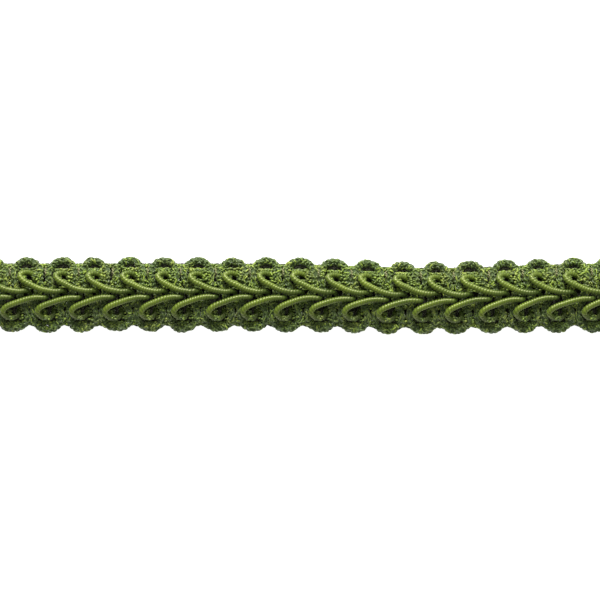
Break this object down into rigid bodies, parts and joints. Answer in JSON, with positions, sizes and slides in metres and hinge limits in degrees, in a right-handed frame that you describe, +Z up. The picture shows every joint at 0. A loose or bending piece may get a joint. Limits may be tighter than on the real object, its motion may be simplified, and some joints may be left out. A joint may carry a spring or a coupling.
{
  "type": "gimp braid trim",
  "caption": "Flat cut length of scroll gimp trim: a smooth wrapped cord worked in leaning loops over a crepe yarn that turns in scallops along both edges.",
  "frame": {"origin": "on the table, under the middle of the length", "axes": "+X along the trim, +Y across it towards the edge whose scroll loops lie nearer the middle, +Z up through the face side"},
  "size_m": [0.1086, 0.0128, 0.0033],
  "materials": {
    "crepe_yarn": "crimped rayon crepe yarn, moss green",
    "gimp_cord": "smooth rayon wrapped gimp cord, satin, leaf green"
  },
  "bodies": {
    "root": {"ground_yarn": "crepe_yarn", "scroll_cord": "gimp_cord"}
  },
  "joints": []
}
